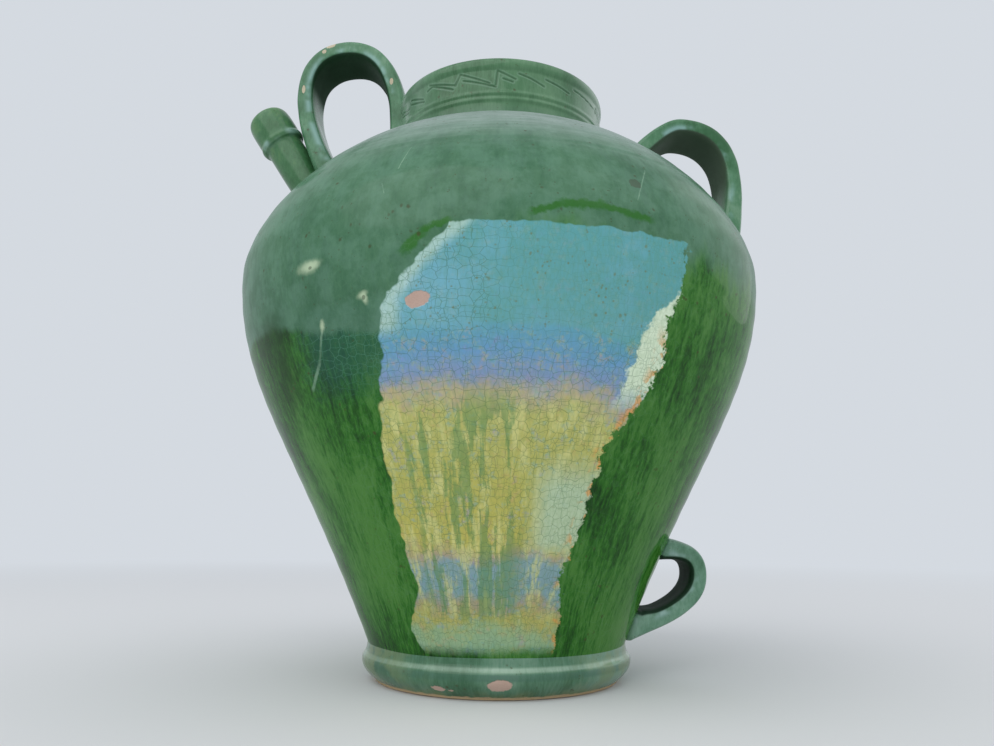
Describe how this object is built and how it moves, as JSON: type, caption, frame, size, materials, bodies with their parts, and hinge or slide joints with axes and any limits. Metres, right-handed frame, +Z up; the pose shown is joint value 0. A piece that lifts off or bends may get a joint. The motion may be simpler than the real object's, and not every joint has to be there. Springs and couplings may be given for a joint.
{
  "type": "glazed terracotta oil jar",
  "caption": "Green-glazed earthenware oil jar: ovoid body on a moulded foot, wide short neck, tubular pouring spout, and strap handles at neck, shoulder and foot.",
  "frame": {"origin": "centre of the flat base, on the jar's turning axis", "axes": "+Z up along the turning axis, +X towards the shoulder and tipping handles, -X towards the spout and the neck handle"},
  "size_m": [0.421, 0.406, 0.525],
  "materials": {
    "body_glaze": "deep green lead glaze, glossy, crackled, with an iridescent bloom on the belly",
    "collar_glaze": "green lead glaze over an incised zigzag",
    "foot_glaze": "green lead glaze, chipped to buff clay along the bottom edge",
    "spout_glaze": "yellower green lead glaze, glossy",
    "handle_glaze": "green lead glaze, worn to buff clay in small chips on the edges"
  },
  "bodies": {
    "root": {"jar_body": "body_glaze", "neck_collar": "collar_glaze", "foot_moulding": "foot_glaze", "pouring_spout": "spout_glaze", "neck_handle": "handle_glaze", "shoulder_handle": "handle_glaze", "tipping_handle": "handle_glaze"}
  },
  "joints": []
}
